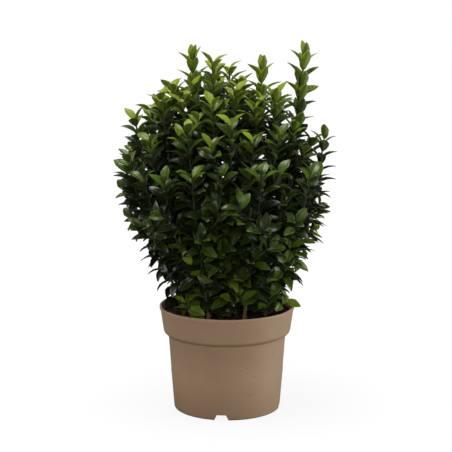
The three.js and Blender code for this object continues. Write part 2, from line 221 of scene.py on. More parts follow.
def grown(name, seed_mesh, tree, values):
    """Runs a geometry tree on a mesh and keeps what comes out as a plain mesh."""
    seed = linked_piece(f"{name}_seed", seed_mesh)
    modifier = seed.modifiers.new("grow", "NODES")
    modifier.node_group = tree
    for item in tree.interface.items_tree:
        if item.in_out == "INPUT" and item.name in values:
            modifier[item.identifier] = values[item.name]
    mesh = evaluated_mesh(seed)
    bpy.data.objects.remove(seed)
    bpy.data.meshes.remove(seed_mesh)
    piece = linked_piece(name, mesh)
    print(f"{name}: {triangles(piece)} triangles")
    return piece


def dress(piece, slot, *nodes):
    """The piece moves with the plant and stands for CAD nodes, which it hides. Its slot is not used."""
    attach(piece, "root")
    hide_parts(*nodes)


# %% [markdown]
# ## Shared finishes
#
# Plastic, peat and bark are never one flat tone. One effect serves all of them at different sizes:
# a cloudy noise that mixes two tones and also says how high the surface stands. A second one strews
# specks: bits of soil on the pot, and pale grains in the peat. Both are shader groups, so each
# material sets its own scale and tones.


# %% Mottle group
def colour(red, green, blue):
    """A colour of a screen, 0 to 255, as the linear colour that shaders work in."""
    screen = np.array([red, green, blue]) / 255
    linear = np.where(screen <= 0.04045, screen / 12.92, ((screen + 0.055) / 1.055) ** 2.4)
    return (*linear.tolist(), 1.0)


mottle, given, made = new_tree(
    "Mottle",
    "Shader",
    {
        "Light tone": "Color",
        "Dark tone": "Color",
        "Scale": 60.0,
        "Stretch": (1.0, 1.0, 1.0),
        "Contrast": 1.0,
    },
    {"Color": "Color", "Height": "Float"},
)
place = out(add(mottle, "ShaderNodeTexCoord"), "Object")
stretched = add(mottle, "ShaderNodeVectorMath", {0: place, 1: given["Stretch"]}, operation="MULTIPLY")
values = {"Vector": stretched, "Scale": given["Scale"], "Detail": 6.0, "Roughness": 0.6}
cloud = add(mottle, "ShaderNodeTexNoise", values)
steep = calc(mottle, "MULTIPLY", calc(mottle, "SUBTRACT", cloud, 0.5), given["Contrast"])
mask = calc(mottle, "ADD", steep, 0.5, use_clamp=True)
tone = mix(mottle, mask, given["Dark tone"], given["Light tone"], "RGBA")
connect(mottle, made, {"Color": tone, "Height": mask})
print(f"group {mottle.name}: {len(mottle.nodes)} nodes")

# %% Speck group
specks, given, made = new_tree(
    "Specks",
    "Shader",
    {"Color": "Color", "Speck tone": "Color", "Scale": 60.0, "Size": 0.1},
    {"Color": "Color"},
)
place = out(add(specks, "ShaderNodeTexCoord"), "Object")
cells = add(specks, "ShaderNodeTexVoronoi", {"Vector": place, "Scale": given["Scale"]})
inside = calc(specks, "LESS_THAN", cells, given["Size"])
tone = mix(specks, inside, given["Color"], given["Speck tone"], "RGBA")
connect(specks, made, {"Color": tone})
print(f"group {specks.name}: {len(specks.nodes)} nodes")


# %% Materials from the groups
def principled(name, roughness, sheen):
    """A material and its Principled shader, ready for a colour."""
    material = bpy.data.materials.new(name)
    material.use_nodes = True
    shader = material.node_tree.nodes["Principled BSDF"]
    connect(material.node_tree, shader, {"Roughness": roughness, "Specular IOR Level": sheen})
    return material, shader


def mottled(name, light, dark, scale, contrast, roughness, relief, stretch=(1, 1, 1), sheen=0.5):
    """A cloudy two-tone finish. `relief` is how deep its grain looks, in metres."""
    material, shader = principled(name, roughness, sheen)
    tree = material.node_tree
    cloudy = add(tree, "ShaderNodeGroup", node_tree=mottle)
    connect(tree, cloudy, {"Light tone": colour(*light), "Dark tone": colour(*dark)})
    connect(tree, cloudy, {"Scale": scale, "Stretch": stretch, "Contrast": contrast})
    values = {"Height": out(cloudy, "Height"), "Distance": relief, "Strength": 1}
    grain = add(tree, "ShaderNodeBump", values)
    connect(tree, shader, {"Base Color": out(cloudy, "Color"), "Normal": grain})
    return material


def speckle(material, tone, scale, size):
    """Small specks over a finish, `scale` to the metre and this large a share of their distance."""
    tree = material.node_tree
    shader = tree.nodes["Principled BSDF"]
    under = shader.inputs["Base Color"].links[0].from_socket
    values = {"Color": under, "Speck tone": colour(*tone), "Scale": scale, "Size": size}
    connect(tree, shader, {"Base Color": add(tree, "ShaderNodeGroup", values, node_tree=specks)})


# %% [markdown]
# ## Studio
#
# The plant stands on a white seamless ground in soft light from overhead and from the front. A cooler
# lamp on the right draws a pale edge down the pot, and weak ones lift its left and its back. A plain
# white world would light the leaves from all sides and wash out the dark inside of the crown. So the
# world and the floor are white only to the camera. To all else the world is dim, and the floor glows
# upwards in place of the light that white paper throws back, with a painted shadow of the plant round
# the pot, where the glow fades to none.

# %% World and floor
LIGHT_ABOVE, LIGHT_LEVEL = 0.2, 0.06
FLOOR_SIDE, FLOOR_TONE = 12.0, 0.05
FLOOR_GLOW, FLOOR_FAR = 0.9, 1.0  # next to the pot, and where the floor gets white
FLOOR_BOUNCE = 0.38  # the floor glows this much to all but the camera, in place of the light that white paper throws up
SHADOW_NEAR, SHADOW_FAR = 0.1, 0.6  # a painted shadow of the plant: the glow grows from none to all of that between these distances

scene.view_settings.view_transform = "Standard"
world = bpy.data.worlds.new("studio")
world.use_nodes = True
scene.world = world
sky = world.node_tree
seen = out(add(sky, "ShaderNodeLightPath"), "Is Camera Ray")
direction = out(add(sky, "ShaderNodeTexCoord"), "Generated")
upright = out(add(sky, "ShaderNodeSeparateXYZ", {0: direction}), "Z")
fade = add(sky, "ShaderNodeMapRange", {"Value": upright, "To Min": LIGHT_LEVEL, "To Max": LIGHT_ABOVE})
glow = mix(sky, seen, fade, 1.0, "FLOAT")
connect(sky, sky.nodes["Background"], {"Color": (1, 1, 1, 1), "Strength": glow})

half = FLOOR_SIDE / 2
floor_mesh = bpy.data.meshes.new("floor")
floor_mesh.from_pydata(
    [(-half, -half, 0), (half, -half, 0), (half, half, 0), (-half, half, 0)], [], [(0, 1, 2, 3)]
)
floor = linked_piece("floor", floor_mesh)
paper = bpy.data.materials.new("white_paper")
paper.use_nodes = True
sheet = paper.node_tree
sheet.nodes.clear()
place = out(add(sheet, "ShaderNodeTexCoord"), "Object")
away = out(add(sheet, "ShaderNodeVectorMath", {0: place}, operation="LENGTH"), "Value")
seen = out(add(sheet, "ShaderNodeLightPath"), "Is Camera Ray")
white = add(sheet, "ShaderNodeMapRange", {"Value": away, "From Max": FLOOR_FAR, "To Min": FLOOR_GLOW})
# the glow that stands in for bounced light, faded near the pot as a painted shadow
values = {"Value": away, "From Min": SHADOW_NEAR, "From Max": SHADOW_FAR, "To Max": FLOOR_BOUNCE}
bounce_glow = add(sheet, "ShaderNodeMapRange", values)
bright = add(sheet, "ShaderNodeEmission", {"Strength": mix(sheet, seen, bounce_glow, white, "FLOAT")})
shade = add(sheet, "ShaderNodeBsdfDiffuse", {"Color": (FLOOR_TONE,) * 3 + (1,)})
both = add(sheet, "ShaderNodeAddShader", {0: shade, 1: bright})
add(sheet, "ShaderNodeOutputMaterial", {"Surface": both})
floor_mesh.materials.append(paper)
print(f"floor {FLOOR_SIDE} m square, world {LIGHT_LEVEL} to {LIGHT_ABOVE}")

# %% Lamps
LAMP_SIDE = 1.0
CROWN_MIDDLE = Vector((0, 0, 330 * MM))
WARM, WHITE, COOL = (1.0, 0.98, 0.92), (1.0, 0.98, 0.94), (0.9, 0.97, 1.0)
# each lamp's place in metres, its watts, its tint, and how strongly glossy leaves mirror it
LAMPS = {
    "overhead": ((-0.2, -0.15, 2.0), 54, WARM, 0.4),
    "right_side": ((1.6, 0.1, 0.35), 27, COOL, 1.0),
    "left_side": ((-1.4, 0.6, 0.5), 8, WARM, 0.3),
    "front_fill": ((-0.2, -2.4, 1.05), 28, WHITE, 0.2),
    "back_fill": ((0.2, 2.4, 1.0), 14, WHITE, 0.2),
}

for name, (place, watts, tint, mirrored) in LAMPS.items():
    light = bpy.data.lights.new(name, "AREA")
    light.size = LAMP_SIDE
    light.energy = watts
    light.color = tint
    light.specular_factor = mirrored
    piece = bpy.data.objects.new(name, light)
    piece.location = place
    piece.rotation_euler = (CROWN_MIDDLE - Vector(place)).to_track_quat("-Z", "Y").to_euler()
    scene.collection.objects.link(piece)
print(f"{len(LAMPS)} lamps")

# %% [markdown]
# ## Reading the shoots
#
# Each stem solid starts in a flat cut on the soil, and each leafy solid ends in a bud. Those two
# places fix a shoot. The table of shoots could be typed in again, but reading it from the frame
# keeps the leaves on the stems whatever the solids do. The curve between the two ends follows the
# rule of the solids: it bows outwards low down and turns up towards its tip.

# %% Feet and buds
BUD_SLICE = 12 * MM  # the topmost slice of a leafy solid, which tells where its bud is
FOOT_SLICE = 0.01 * MM


def corners(node):
    mesh = frame["nodes"][node].data
    flat = np.empty(len(mesh.vertices) * 3)
    mesh.vertices.foreach_get("co", flat)
    return flat.reshape(-1, 3)


def foot_and_top(shoot):
    stem = corners(f"stem_{shoot}")
    foot = stem[stem[:, 2] < stem[:, 2].min() + FOOT_SLICE].mean(0)
    leafy = corners(f"foliage_{shoot}")
    peak = leafy[:, 2].max()
    top = leafy[leafy[:, 2] > peak - BUD_SLICE].mean(0)
    top[2] = peak
    return foot, top


foot, top = foot_and_top(SHOOTS[0])
print(f"{SHOOTS[0]}: from {foot.round(3).tolist()} to {top.round(3).tolist()}")

# %% Centre lines
AXIS_STEPS = 40
NEAR = 0.5 * MM
BUD_STAGES = (0.8, 2.6)  # a bud's top pair stands open like a pair this far down
SEED = 13
draw = np.random.default_rng(SEED)
RIGHT = np.array([1.0, 0.0, 0.0])


def unit(vector):
    return vector / np.linalg.norm(vector)


class Axis:
    """The centre line of a stem or twig, a Bezier curve that is walked by distance."""

    def __init__(self, controls, roll, order, shoot):
        shares = np.linspace(0, 1, AXIS_STEPS + 1)[:, None]
        level = [np.broadcast_to(point, (AXIS_STEPS + 1, 3)) for point in controls]
        while len(level) > 1:
            level = [a * (1 - shares) + b * shares for a, b in zip(level, level[1:])]
        self.points = level[0]
        spans = np.linalg.norm(np.diff(self.points, axis=0), axis=1)
        self.along = np.concatenate([[0], np.cumsum(spans)])
        self.length = self.along[-1]
        self.roll, self.order, self.shoot = roll, order, shoot
        self.opened = draw.uniform(*BUD_STAGES)

    def point(self, distance):
        return np.array([np.interp(distance, self.along, line) for line in self.points.T])

    def directions(self, distance):
        """The way that the twig runs there, and two directions square to it."""
        ahead = self.point(min(distance + NEAR, self.length))
        tangent = unit(ahead - self.point(max(distance - NEAR, 0)))
        across = unit(np.cross(tangent, RIGHT))
        return tangent, np.cross(tangent, across), across


# %% Main shoots
BUD_RISE, SPIRE_RISE = 19 * MM, 29 * MM  # from a twig's end to the top of its leaves
SPIRES = ("right_spire", "centre_spire", "left_spire")
SPIRE_ROLL = math.radians(68)  # their pairs face front and sideways
BOW_LOW, BOW_HIGH = 0.30, 0.86  # how far a stem has leant out at a third and two thirds of its height
UP = np.array([0.0, 0.0, 1.0])


def main_axis(shoot, roll):
    foot, top = foot_and_top(shoot)
    tip = top - (SPIRE_RISE if shoot in SPIRES else BUD_RISE) * UP
    lean = (tip - foot) * (1, 1, 0)
    rise = (tip - foot)[2] * UP
    low, high = foot + BOW_LOW * lean + rise / 3, foot + BOW_HIGH * lean + rise * 2 / 3
    return Axis([foot, low, high, tip], roll, 0, shoot)


mains = [
    main_axis(shoot, SPIRE_ROLL if shoot in SPIRES else draw.uniform(0, math.pi)) for shoot in SHOOTS
]
print(f"main shoots: {sum(a.length for a in mains):.2f} m of stem")

# %% [markdown]
# ## Branching
#
# In the solids every shoot carries a few side shoots, set round it by the golden angle, that leave
# sideways and turn up. Here the same rule goes on: more side shoots, finer twigs on those, and short
# low twigs that lean out over the rim. Twigs strewn at random would fill the crown as well, but then
# it would have no columns of leaves with dark lanes between them. So a twig that would leave the
# crown's outline, rise above its dome or crowd a neighbour is shortened, or isn't grown at all.

# %% Crown outline
NECK_RADIUS, NECK_TOP = 80 * MM, 160 * MM
CROWN_RADIUS, SHOULDER = 156 * MM, 300 * MM
NECK_RIGHT, CROWN_LEFT = 6 * MM, 6 * MM  # how far their middles lie beside the pot's
DEPTH_SHARE = 0.94
# side shoots end below a dome, which is widest and highest a little left of the middle and behind it
DOME_TOP, DOME_DROP, DOME_POWER = 464 * MM, 108 * MM, 2.4
DOME_LEFT, DOME_BACK, DOME_WIDE, DOME_DEEP = 16 * MM, 25 * MM, 150 * MM, 130 * MM


def ramp(value, start, over):
    """0 up to a start, and from there up to 1 over a distance, downwards if that is negative."""
    return np.clip((value - start) / over, 0, 1)


def crown_depth(points):
    """How far points lie inside the crown's side."""
    share = ramp(points[..., 2], NECK_TOP, SHOULDER - NECK_TOP)
    radius = NECK_RADIUS + (CROWN_RADIUS - NECK_RADIUS) * share
    aside = NECK_RIGHT - (NECK_RIGHT + CROWN_LEFT) * share
    return radius - np.hypot(points[..., 0] - aside, points[..., 1] / DEPTH_SHARE)


def dome_top(point):
    """How high side shoots get there."""
    outer = math.hypot((point[0] + DOME_LEFT) / DOME_WIDE, (point[1] - DOME_BACK) / DOME_DEEP)
    return DOME_TOP - DOME_DROP * outer**DOME_POWER


print(f"crown {2 * CROWN_RADIUS:.3f} m wide, with a dome at {DOME_TOP:.3f} m")

# %% Room for twigs
COLUMN_FULL = 220 * MM  # twigs stand their full gap apart from this height above the soil
LEAST_ROOM = 0.2  # and at the soil this share of it
TOP_CLOSER, TOP_FROM, TOP_OVER = 0.35, 390 * MM, 40 * MM  # closer again at the top
BACK_CLOSER, BACK_FROM, BACK_OVER = 0.3, -10 * MM, 30 * MM  # and behind the middle
SOIL_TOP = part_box("soil")[1].z
RIM_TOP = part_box("pot")[1].z
RIM_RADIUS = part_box("pot")[1].x
RIM_BREADTH = 3 * MM
POT_GAP = 2 * MM
# in mm, gaps at the front: middle, width, from where forward, top, and the shoot that shows there
GAPS = ((22, 20, 0, 174, None), (-62, 46, -44, 184, "basal_left"))


def clear_of_pot(points):
    """True where points lie above the rim, or inside it above the soil."""
    above = points[..., 2] > RIM_TOP + POT_GAP
    away = np.hypot(points[..., 0], points[..., 1])
    inside = (away < RIM_RADIUS - RIM_BREADTH - POT_GAP) & (points[..., 2] > SOIL_TOP + POT_GAP)
    return above | inside


def in_a_gap(point, shoot):
    """True in the gaps through which a bare stem and a young shoot show."""
    x, y, z = point / MM
    for middle, width, front, top, shown in GAPS:
        if shoot != shown and abs(x - middle) < width / 2 and y < front and z < top:
            return True
    return False


def off_others(points, parent):
    """How far each point is from every twig but the one it grows on."""
    others = np.concatenate([axis.points[::2] for axis in grown_axes if axis is not parent])
    return np.linalg.norm(points[:, None] - others[None], axis=2).min(1)


def has_column(points, parent, gap):
    """True if a twig's points leave the other twigs the room that they need there."""
    room = np.clip((points[:, 2] - SOIL_TOP) / COLUMN_FULL, LEAST_ROOM, 1) * gap
    room *= 1 - TOP_CLOSER * ramp(points[:, 2], TOP_FROM, TOP_OVER)
    room *= 1 - BACK_CLOSER * ramp(points[:, 1], BACK_FROM, BACK_OVER)
    return (off_others(points, parent) > room).all()


print(f"rim at {RIM_TOP:.3f} m, soil at {SOIL_TOP:.3f} m")

# %% Side shoots and fine twigs
GOLDEN = math.radians(137.5)
LEAST_RISE = 20 * MM
TOPPING = 6 * MM  # a side shoot may get this much higher than its parent
EDGE_ROOM = 20 * MM  # a twig stays this far inside the crown, for its leaves
LEAFY_SHARE = 0.5  # the upper share of a twig that keeps off the others
KNEE_OFF, KNEE_RISE, KNEE_HIGHEST = 0.55, 0.15, 14 * MM  # where a twig turns up
BELLY = 1.05  # half way up it stands off by this share of what it does at its tip
UNDER_DOME, SHORTER = 0.94, 0.85  # how much lower the next try is
# for each order of branching: spacing on the parent, first and last share of it, how far the twig
# stands off in mm, how high it gets as a share of what is left of the parent, how far below the top of
# the crown it ends, and how far it keeps off others
Rule = namedtuple("Rule", "spacing first last off reach below gap")
SIDE_RULE = Rule(9 * MM, 0.05, 0.90, (26, 38), (0.72, 1.0), 6 * MM, 29 * MM)
FINE_RULE = Rule(14 * MM, 0.05, 0.85, (18, 28), (0.45, 0.95), 24 * MM, 27 * MM)


def at_height(axis, height):
    return np.array([np.interp(height, axis.points[:, 2], line) for line in axis.points.T])


def branch(parent, share, turn, rule):
    """A twig that leaves sideways and turns up beside its parent, as high as there is room."""
    root = parent.point(share * parent.length)
    off = draw.uniform(*rule.off) * MM * np.array([math.cos(turn), math.sin(turn), 0])
    rise = (parent.points[-1][2] + TOPPING - root[2]) * draw.uniform(*rule.reach)
    while rise >= LEAST_RISE:
        knee = root + KNEE_OFF * off + min(KNEE_RISE * rise, KNEE_HIGHEST) * UP
        high = at_height(parent, root[2] + 0.5 * rise) + BELLY * off
        tip = at_height(parent, root[2] + rise) + off
        if tip[2] > dome_top(tip) - rule.below:
            rise *= UNDER_DOME
            continue
        twig = Axis([root, knee, high, tip], draw.uniform(0, math.pi), parent.order + 1, parent.shoot)
        leafy = twig.points[int(LEAFY_SHARE * AXIS_STEPS)::4]
        fits = (crown_depth(leafy) > EDGE_ROOM).all() and clear_of_pot(leafy).all()
        if fits and has_column(leafy, parent, rule.gap):
            return twig
        rise *= SHORTER
    return None


def grow(parents, rule):
    """One twig on each parent in turn, so that neighbours share the room between them."""
    stretch = rule.last - rule.first
    counts = [int(parent.length * stretch / rule.spacing) for parent in parents]
    turns = [draw.uniform(0, 2 * math.pi) for _ in parents]
    kept = []
    for i in range(max(counts)):
        for parent, count, turn in zip(parents, counts, turns):
            if i < count:
                share = rule.first + stretch * (i + 0.5) / count
                twig = branch(parent, share, turn + i * GOLDEN, rule)
                if twig:
                    kept.append(twig)
                    grown_axes.append(twig)
    return kept


grown_axes = list(mains)
sides = grow(mains, SIDE_RULE)
fines = grow(sides, FINE_RULE)
print(f"{len(mains)} main shoots, {len(sides)} side shoots, {len(fines)} fine twigs")

# %% Low twigs
LOW_SPACING, LOW_FIRST = 14 * MM, 0.4
LOW_TO, LOW_SHARE = 180 * MM, 0.6  # they stand up to here on a stem, or on this share of a short one
LOW_LENGTH = (44, 72)
LOW_GAP = 6 * MM
LOW_SHORTER = 0.8
SUCKER_TO = 26 * MM  # below this a twig turns up from the soil
LOW_FAN, SUCKER_FAN = 75, 150  # degrees to both sides of straight out
# how far out and up a twig's knee and tip are, as shares of its length
LOW_KNEE, LOW_TIP = (0.4, 0.3), (0.76, 0.6)
SUCKER_KNEE, SUCKER_TIP = (0.5, 0.12), (0.62, 0.7)


def low_twig(parent, distance):
    """A short twig that leans out over the rim, or close to the soil turns up from it."""
    root = parent.point(distance)
    sucker = distance < SUCKER_TO
    fan = math.radians(SUCKER_FAN if sucker else LOW_FAN)
    turn = math.atan2(root[1], root[0]) + draw.uniform(-fan, fan)
    heading = np.array([math.cos(turn), math.sin(turn), 0])
    bends = (SUCKER_KNEE, SUCKER_TIP) if sucker else (LOW_KNEE, LOW_TIP)
    length = draw.uniform(*LOW_LENGTH) * MM
    while length > LEAST_RISE:
        controls = [root, *(root + length * (away * heading + up * UP) for away, up in bends)]
        twig = Axis(controls, draw.uniform(0, math.pi), 2, parent.shoot)
        outer = twig.points[AXIS_STEPS // 2::4]
        fits = (crown_depth(outer) > EDGE_ROOM / 2).all() and clear_of_pot(outer).all()
        if fits and off_others(outer, parent).min() > LOW_GAP:
            return twig
        length *= LOW_SHORTER
    return None


lows = []
for parent in mains:
    for i in range(int(min(LOW_TO, LOW_SHARE * parent.length) / LOW_SPACING)):
        twig = low_twig(parent, (i + LOW_FIRST) * LOW_SPACING)
        if twig:
            lows.append(twig)
            grown_axes.append(twig)
print(f"{len(lows)} low twigs")

# %% [markdown]
# ## Where the leaves sit
#
# Spindle shrubs carry their leaves in opposite pairs, each pair turned a quarter from the last, so a
# shoot seen from above is a cross. At the bud the pairs are small, steep and close. Further down they
# grow to full size, spread and arch back, and low down they are longer and hang. Scattering leaves at
# random would lose that order, so every leaf is placed by its number from the bud. Its tint follows
# from its age, with painted shade deeper in the crown and below its top, and painted light low down.

# %% Leaf pairs
BUD_SEAT = 1 * MM
FIRST_GAP, GAP_GROWTH = 6.5 * MM, 1.2  # at the bud, and its growth from pair to pair
INTERNODE, LOW_INTERNODE = 9.6 * MM, 14 * MM
SPIRE_INTERNODE, SPIRE_OPEN = 12.6 * MM, 40 * MM  # a leader's pairs stand wider at its top
SHADE_INTERNODE, SHADE_DEPTH, SHADE_BELOW_TIP = 11 * MM, 62 * MM, 95 * MM
BARE = {0: 9 * MM, 1: 12 * MM, 2: 6 * MM}  # no leaves this near a twig's foot, by its order
BASAL = ("basal_left", "basal_right")  # young shoots from the soil, as bright as the top
BASAL_INTERNODE, BASAL_BARE = 4.6 * MM, 3 * MM


def is_leader(axis):
    return axis.shoot in SPIRES and axis.order == 0


def pair_distances(axis):
    """How far below the tip each pair sits."""
    basal = axis.shoot in BASAL
    below, gap = BUD_SEAT, FIRST_GAP
    while below < axis.length - (BASAL_BARE if basal else BARE[axis.order]):
        yield below
        longest = LOW_INTERNODE if axis in lows else INTERNODE
        if is_leader(axis) and below < SPIRE_OPEN:
            longest = SPIRE_INTERNODE
        gap = BASAL_INTERNODE if basal else min(gap * GAP_GROWTH, longest)
        shaded = crown_depth(axis.point(axis.length - below)) > SHADE_DEPTH and below > SHADE_BELOW_TIP
        below += SHADE_INTERNODE if shaded else gap


print(f"{SHOOTS[0]}: {len(list(pair_distances(mains[0])))} pairs of leaves")

# %% Leaf tints
# a leaf's age sets its tint, and painted shade and painted light by its place shift it
TINTS = ("young", "fresh", "mid", "dark", "deep")
AGE_AND_SHADE_STEPS = (1.7, 3.3, 5.3, 7.8)  # from each of these values of age and painted shade on, a leaf has the next tint
AGING, LEADER_AGING, AGE_SPREAD = 0.85, 0.5, 0.9  # from pair to pair, on the leaders, and by chance
PAINTED_SHADE_DEPTH = 30 * MM  # painted shade: a leaf this much deeper in the crown is tinted as one older
# painted shade darkens the leaves below the top, and painted light pales them low down, most at the
# sides
SHADE_AGE, SHADE_TOP, SHADE_OVER = 4.7, 450 * MM, -120 * MM
LOW_LIGHT, SIDE_LIGHT, LIGHT_TOP, LIGHT_OVER = 1.4, 3.0, 300 * MM, -50 * MM
FOOT_LIGHT, FOOT_TOP, FOOT_OVER = 0.8, 230 * MM, -60 * MM


def tint_of(number, axis, depth, place):
    """Yellow-green at the buds and darker with age. Painted shade darkens leaves below the top and
    deeper in, and painted light pales them low down.
    """
    x, y, height = place
    depth = max(0, depth)
    # how far out at the left or right a leaf is, where its painted light is strongest
    beside = max(0, 1 - abs(y / x) - depth / SHADE_DEPTH)
    aging = LEADER_AGING if is_leader(axis) else AGING
    age_and_shade = number * aging + draw.normal(0, AGE_SPREAD) + depth / PAINTED_SHADE_DEPTH
    if axis.shoot not in BASAL:
        age_and_shade += SHADE_AGE * ramp(height, SHADE_TOP, SHADE_OVER)
        age_and_shade -= (LOW_LIGHT + SIDE_LIGHT * beside) * ramp(height, LIGHT_TOP, LIGHT_OVER)
        age_and_shade -= FOOT_LIGHT * ramp(height, FOOT_TOP, FOOT_OVER)
    return int(np.searchsorted(AGE_AND_SHADE_STEPS, age_and_shade))


print(f"{len(TINTS)} tints")

# %% Leaf habit
OPEN_ANGLE, BUD_ANGLE, OPENING = 32, 14, 0.8
SPIRE_SIZE, SPIRE_FRONT, SPIRE_SIDE = 1.06, 12, 36  # the leaders' leaves, those in front steeper
BASAL_SIZE, BASAL_OPEN = 0.8, 22
DROOP, DROOP_BELOW = 22, 180 * MM  # older leaves lean out by more degrees, this far below the tip
JITTER = 6
ARCHES = (6, 20, 34, 48, 62)  # degrees that a blade bends from stalk to tip
BUD_ARCH, OPEN_ARCH, OPEN_PAIRS = 0.5, 2.6, 2  # which arch a bud's leaf has, and what these pairs add
ORDER_SIZE = {0: 1.0, 1: 0.97, 2: 0.92}
BUD_SIZE, SIZE_GROWTH = 0.88, 0.06  # of the first pair, and for each pair below it
TWIST = 9
LOW_TOP, LOW_OVER = 320 * MM, -110 * MM  # leaves change from here down, over this height
LOW_LEAN, LOW_ARCH, LOW_LONGER, LOW_SLIMMER, LOW_TWIST = 24, 1.2, 0.22, 0.3, 14
BROAD_BELOW, BROAD_OVER = 180 * MM, 60 * MM  # next to the soil they are broad again
ARCH_SPREAD, SIZE_SPREAD = (0.8, 1.25), (0.9, 1.1)
EDGE_SLACK, LOW_SLACK = 8 * MM, 20 * MM  # a leaf's tip may stand out by this, and low down by more


def leaf_habit(axis, distance, number, outwards):
    """A leaf's lean, arch, size, slimness and twist, and how far it may leave the crown."""
    height = axis.point(distance)[2]
    leader, basal = is_leader(axis), axis.shoot in BASAL
    forward = outwards[1] ** 2
    stage = number if leader else number + axis.opened
    open_share = 1 - math.exp(-stage / OPENING)
    old_share = min(1, (axis.length - distance) / DROOP_BELOW)
    low_share = ramp(height, LOW_TOP, LOW_OVER) * min(1, number / OPEN_PAIRS)
    slim_share = low_share * ramp(height, BROAD_BELOW, BROAD_OVER)

    open_angle = SPIRE_SIDE + (SPIRE_FRONT - SPIRE_SIDE) * forward if leader else OPEN_ANGLE
    lean = BUD_ANGLE + (open_angle - BUD_ANGLE) * open_share + DROOP * old_share + LOW_LEAN * low_share
    lean += draw.normal(0, JITTER) + (BASAL_OPEN if basal else 0)
    bend = BUD_ARCH + OPEN_ARCH * min(1, stage / OPEN_PAIRS) + LOW_ARCH * low_share
    bend *= draw.uniform(*ARCH_SPREAD)
    bend = min(bend, 2 - forward) if leader else bend
    arch = int(np.clip(round(bend), 0, len(ARCHES) - 1))
    size = ORDER_SIZE[axis.order] * min(1, BUD_SIZE + SIZE_GROWTH * number) * draw.uniform(*SIZE_SPREAD)
    size *= (1 + LOW_LONGER * low_share) * (SPIRE_SIZE if leader else 1)
    size *= BASAL_SIZE if basal else 1
    slimness = (1 - LOW_SLIMMER * slim_share) * draw.uniform(*SIZE_SPREAD)
    twist = math.radians(draw.normal(0, TWIST + LOW_TWIST * low_share))
    slack = EDGE_SLACK + LOW_SLACK * low_share * draw.uniform() ** 2
    return lean, arch, size, slimness, twist, slack


print(f"leaves bend by {ARCHES[0]} to {ARCHES[-1]} degrees")

# %% Room for a leaf
LEAVES_APART = 3.6 * MM
FRONT_LIMIT = CAD_LOW.y - 4 * MM  # leaves reach about as far forward as the solids do
middles = np.empty((0, 3))


def has_room(tip, middle, shoot, slack):
    """True if a leaf keeps to the crown, off the pot, out of the gaps and apart from the others."""
    points = np.stack([tip, middle])
    if (crown_depth(points) < -slack).any() or points[:, 1].min() < FRONT_LIMIT:
        return False
    if not clear_of_pot(points).all() or in_a_gap(middle, shoot):
        return False
    return np.linalg.norm(middles - middle, axis=1).min(initial=1) >= LEAVES_APART


# %% Leaves in their places
LEAF_LENGTH = 32 * MM
TIP_ALONG, TIP_DROP = 0.95, 0.5  # about where the tip of an arched blade is
LIGHT_RISE = 0.7  # the light that leaves turn to comes from outside and above
LIGHT_TURN, LIGHT_LIMIT = 0.2, math.radians(16)
TRIES = ((1, 0), (0.93, 8), (0.86, 16))  # size, and degrees steeper
Leaf = namedtuple("Leaf", "tint root turned size arch slimness")
leaves = []


def facing(along, face):
    """The turn of a leaf that points one way and has its upper face another way."""
    return Matrix(np.stack([along, np.cross(face, along), face]).T).to_quaternion()


def try_leaf(axis, distance, number, turn):
    """Adds one leaf, smaller and steeper if it has to be, unless there is no room."""
    global middles
    root = axis.point(distance)
    tangent, side, across = axis.directions(distance)
    outwards = side * math.cos(turn) + across * math.sin(turn)
    lean, arch, bigness, slimness, twist, slack = leaf_habit(axis, distance, number, outwards)
    light = unit(np.array([root[0], root[1], 0]) / CROWN_RADIUS + LIGHT_RISE * UP)
    drop = TIP_DROP * math.sin(math.radians(ARCHES[arch]))
    for size, steeper in TRIES:
        angle = math.radians(max(BUD_ANGLE, lean - steeper))
        along = outwards * math.sin(angle) + tangent * math.cos(angle)
        face = tangent * math.sin(angle) - outwards * math.cos(angle)
        length = LEAF_LENGTH * bigness * size
        tip = root + length * (TIP_ALONG * along - drop * face)
        middle = root + 0.5 * length * along
        if has_room(tip, middle, axis.shoot, slack):
            middles = np.vstack([middles, middle])
            to_light = LIGHT_TURN * math.atan2(-light @ np.cross(face, along), light @ face)
            roll = twist + min(LIGHT_LIMIT, max(-LIGHT_LIMIT, to_light))
            turned = facing(along, face) @ Matrix.Rotation(roll, 3, "X").to_quaternion()
            # how deep a leaf sits in the crown, which darkens its tint as painted shade
            depth = min(crown_depth(middle), dome_top(middle) - middle[2])
            tint = tint_of(number, axis, depth, middle)
            leaves.append(Leaf(tint, root, turned, bigness * size, arch, slimness))
            return


for axis in mains + sides + fines + lows:
    for number, below in enumerate(pair_distances(axis)):
        quarter = axis.roll + number * math.pi / 2
        for opposite in (0, math.pi):
            swing = math.radians(draw.normal(0, JITTER))
            try_leaf(axis, axis.length - below, number, quarter + opposite + swing)
tally = [sum(leaf.tint == number for leaf in leaves) for number in range(len(TINTS))]
print(f"{len(leaves)} leaves: {dict(zip(TINTS, tally))}")

# %% The leaf over the rim
RIM_LEAF_HEIGHT = 157 * MM
RIM_LEAF_ALONG, RIM_LEAF_FACE = (0.93, -0.25, -0.20), (0, -0.75, 0.66)
RIM_LEAF_SIZE, RIM_LEAF_ARCH, RIM_LEAF_SLIMNESS = 0.85, 1, 1.1

root = at_height(mains[SHOOTS.index("basal_right")], RIM_LEAF_HEIGHT)
along = unit(np.array(RIM_LEAF_ALONG))
face = np.array(RIM_LEAF_FACE)
turned = facing(along, unit(face - along * (along @ face)))
tint = TINTS.index("young")
leaves.append(Leaf(tint, root, turned, RIM_LEAF_SIZE, RIM_LEAF_ARCH, RIM_LEAF_SLIMNESS))
print(f"a leaf of the shoot at {[round(x, 3) for x in root.tolist()]} lies over the rim")

